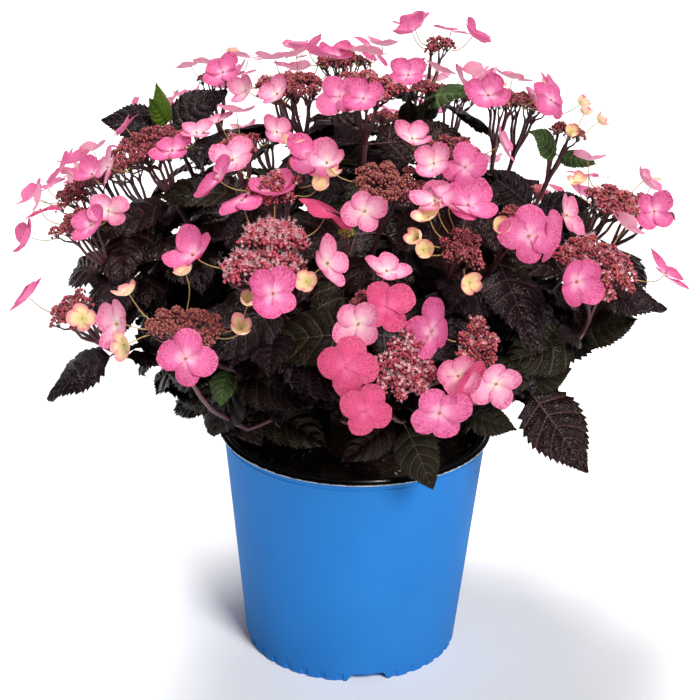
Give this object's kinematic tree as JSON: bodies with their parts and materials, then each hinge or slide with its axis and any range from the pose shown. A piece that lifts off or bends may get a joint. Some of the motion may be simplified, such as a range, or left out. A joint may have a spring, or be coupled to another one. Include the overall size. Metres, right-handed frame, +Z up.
{
  "type": "potted lacecap hydrangea shrub",
  "caption": "Dark-leaved lacecap hydrangea in bloom, with arching canes, paired leaves and flat flower heads ringed by petalled florets, standing in its round plastic nursery pot.",
  "frame": {"origin": "middle of the pot's flat underside", "axes": "+Z up along the pot's axis, -Y towards the front of the plant, +X to its right seen from the front"},
  "size_m": [0.5758, 0.5735, 0.5374],
  "materials": {
    "pot_wall": "satin printed blue skin",
    "pot_lining": "glossy black",
    "soil": "crumbly, matte",
    "bark": "smooth young bark",
    "foliage": "quilted leaf with a dull sheen",
    "green_stem": "smooth maroon stem",
    "blossom": "soft petal"
  },
  "bodies": {
    "root": {"bough_back": "bark", "bough_back_left": "bark", "bough_back_left_top": "bark", "bough_back_right": "bark", "bough_back_top": "bark", "bough_front": "bark", "bough_front_left": "bark", "bough_front_right": "bark", "bough_front_top": "bark", "bough_left": "bark", "bough_left_low": "bark", "bough_right": "bark", "bough_right_low": "bark", "bough_top": "bark", "foliage_back": "foliage", "foliage_back_left": "foliage", "foliage_back_left_top": "foliage", "foliage_back_right": "foliage", "foliage_back_top": "foliage", "foliage_front": "foliage", "foliage_front_left": "foliage", "foliage_front_right": "foliage", "foliage_front_top": "foliage", "foliage_left": "foliage", "foliage_left_low": "foliage", "foliage_right": "foliage", "foliage_right_low": "foliage", "foliage_top": "foliage", "main_stem": "bark", "pot_lining": "pot_lining", "pot_wall": "pot_wall", "potting_soil": "soil"}
  },
  "joints": []
}
